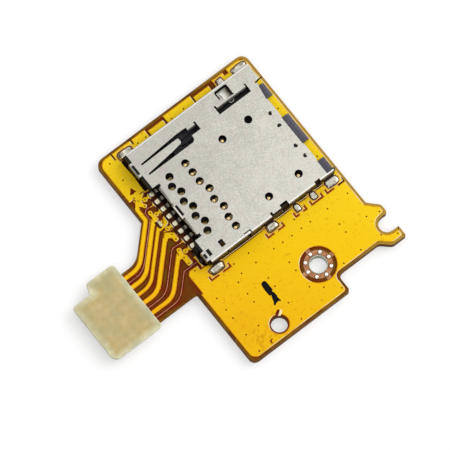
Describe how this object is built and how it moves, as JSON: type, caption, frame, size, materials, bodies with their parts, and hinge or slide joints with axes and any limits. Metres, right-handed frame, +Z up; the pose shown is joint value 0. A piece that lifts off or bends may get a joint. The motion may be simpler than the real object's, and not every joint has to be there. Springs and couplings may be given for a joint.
{
  "type": "push-push micro memory card socket on a flexible circuit",
  "caption": "Push-push card socket with a stamped steel cover, soldered on a small flexible circuit board with a screw hole, a locating hole and a tail with a plug.",
  "frame": {"origin": "under the middle of the socket, on the underside of the board's backing, where the part rests", "axes": "+X out of the card mouth, along the longest side; +Y towards the ejector's side of the socket; +Z up through the board to the cover"},
  "size_m": [0.029, 0.0244, 0.0022],
  "materials": {
    "backing": "glass epoxy sheet with a cut edge",
    "film": "polyimide cover film over bare laminate, dark red-brown",
    "copper": "copper seen through yellow polyimide cover film, semi gloss",
    "fine_copper": "fine copper track seen through the cover film",
    "bare_copper": "bare copper ring, slightly oxidised",
    "stiffener": "cream glass epoxy plate with a faint weave",
    "steel_cover": "satin stamped stainless steel",
    "black_moulding": "moulded liquid crystal polymer",
    "grey_moulding": "moulded liquid crystal polymer",
    "gold": "gold plated bronze",
    "spring_steel": "bright spring wire and leaf",
    "solder": "bright tin solder",
    "ivory_moulding": "moulded liquid crystal polymer"
  },
  "bodies": {
    "board": {"board_backing": "backing", "flex_film": "film", "ground_copper": "copper", "track_1": "copper", "track_2": "fine_copper", "track_3": "copper", "track_4": "copper", "track_5": "copper", "track_6": "fine_copper", "track_7": "copper", "track_8": "fine_copper", "pad_1": "copper", "pad_6": "copper", "screw_pad": "bare_copper", "tail_stiffener": "stiffener", "plug_housing": "ivory_moulding", "plug_contact_1": "gold", "plug_contact_2": "gold", "plug_contact_3": "gold", "plug_contact_4": "gold", "plug_contact_5": "gold", "plug_contact_6": "gold", "plug_contact_7": "gold", "plug_contact_8": "gold", "plug_contact_9": "gold", "plug_contact_10": "gold", "plug_nail_low": "gold", "plug_nail_high": "gold", "socket_base": "black_moulding", "socket_shell": "steel_cover", "solder_rear_low": "solder", "solder_middle_low": "solder", "solder_small_low": "solder", "solder_front_low": "solder", "solder_mouth_low": "solder", "solder_rear_high": "solder", "solder_front_high": "solder", "solder_mouth_high": "solder", "contact_1": "gold", "contact_2": "gold", "contact_3": "gold", "contact_4": "gold", "contact_5": "gold", "contact_6": "gold", "contact_7": "gold", "contact_8": "gold", "detect_spring": "gold", "detect_stop": "gold", "ejector_spring": "spring_steel"},
    "ejector": {"ejector_slider": "grey_moulding", "card_lock_leaf": "spring_steel"},
    "cam_wire": {"cam_pin": "spring_steel"}
  },
  "joints": [
    {"name": "eject_slide", "type": "slide", "parent": "board", "child": "ejector", "axis": [-1, 0, 0], "range_m": [0, 0.0032], "stiffness_N_per_m": 60, "deforming": ["ejector_spring"]},
    {"name": "cam_wire_swing", "type": "hinge", "parent": "board", "child": "cam_wire", "pos_m": [-0.00698, 0.0043, 0.00165], "axis": [0, 0, 1], "range_deg": [0, 5.3]}
  ],
  "couplings": [
    {"joint": "cam_wire_swing", "follows": "eject_slide", "rad_per_m": 28.44}
  ]
}
